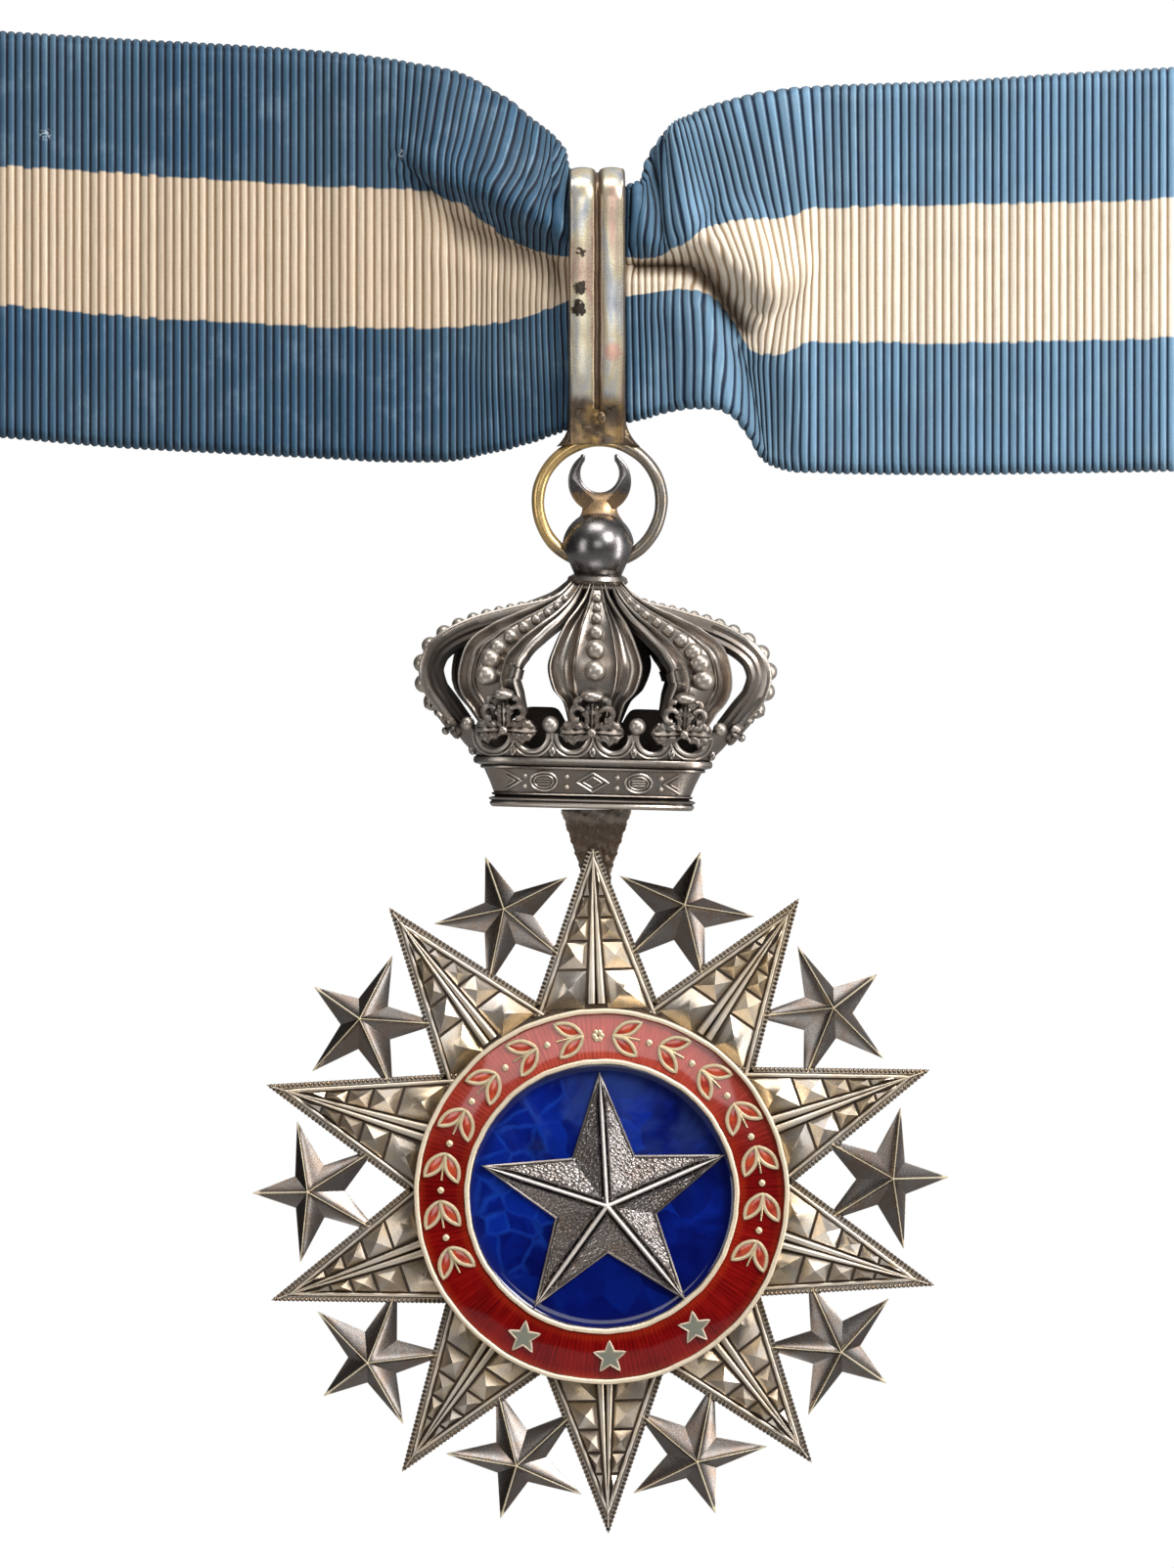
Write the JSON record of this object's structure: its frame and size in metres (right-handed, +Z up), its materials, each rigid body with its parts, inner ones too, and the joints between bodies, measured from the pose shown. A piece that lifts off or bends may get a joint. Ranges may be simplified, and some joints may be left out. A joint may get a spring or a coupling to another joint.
{
  "type": "order insignia",
  "caption": "Neck badge of an order: a loop of striped ribbed ribbon gathered into a folded bail, with a ring, an orb and crescent, an arched crown and an enamelled rayed star hanging from it.",
  "frame": {"origin": "middle of the neck loop, half-way up between the ribbon's front run and its back run", "axes": "+Z up, the badge's front faces -Y, +X is to the viewer's right"},
  "size_m": [0.1591, 0.1221, 0.1901],
  "materials": {
    "ribbon_cloth": "ribbed silk, blue with a cream stripe",
    "bail_silver": "worn silver with warm toning",
    "silver": "cast and chased silver, toned in the hollows",
    "dark_silver": "dark toned silver",
    "gilt": "gilt, polished",
    "red_enamel": "translucent red enamel over engine turning",
    "blue_enamel": "translucent blue enamel over a hammered ground"
  },
  "bodies": {
    "root": {"ribbon": "ribbon_cloth", "suspension_loop": "bail_silver"},
    "badge": {"orb_finial": "dark_silver", "crown": "silver", "hanger_plate": "dark_silver", "ray_star": "silver", "medallion_base": "silver", "red_enamel_ring": "red_enamel", "blue_enamel_disc": "blue_enamel", "centre_star": "dark_silver", "gold_leaves": "gilt", "ring_star_1": "silver", "ring_star_2": "silver", "ring_star_3": "silver"}
  },
  "joints": [
    {"name": "pendant_swing", "type": "hinge", "parent": "root", "child": "badge", "pos_m": [0, -0.055, -0.0532], "axis": [1, 0, 0], "range_deg": [-90, 90]}
  ]
}
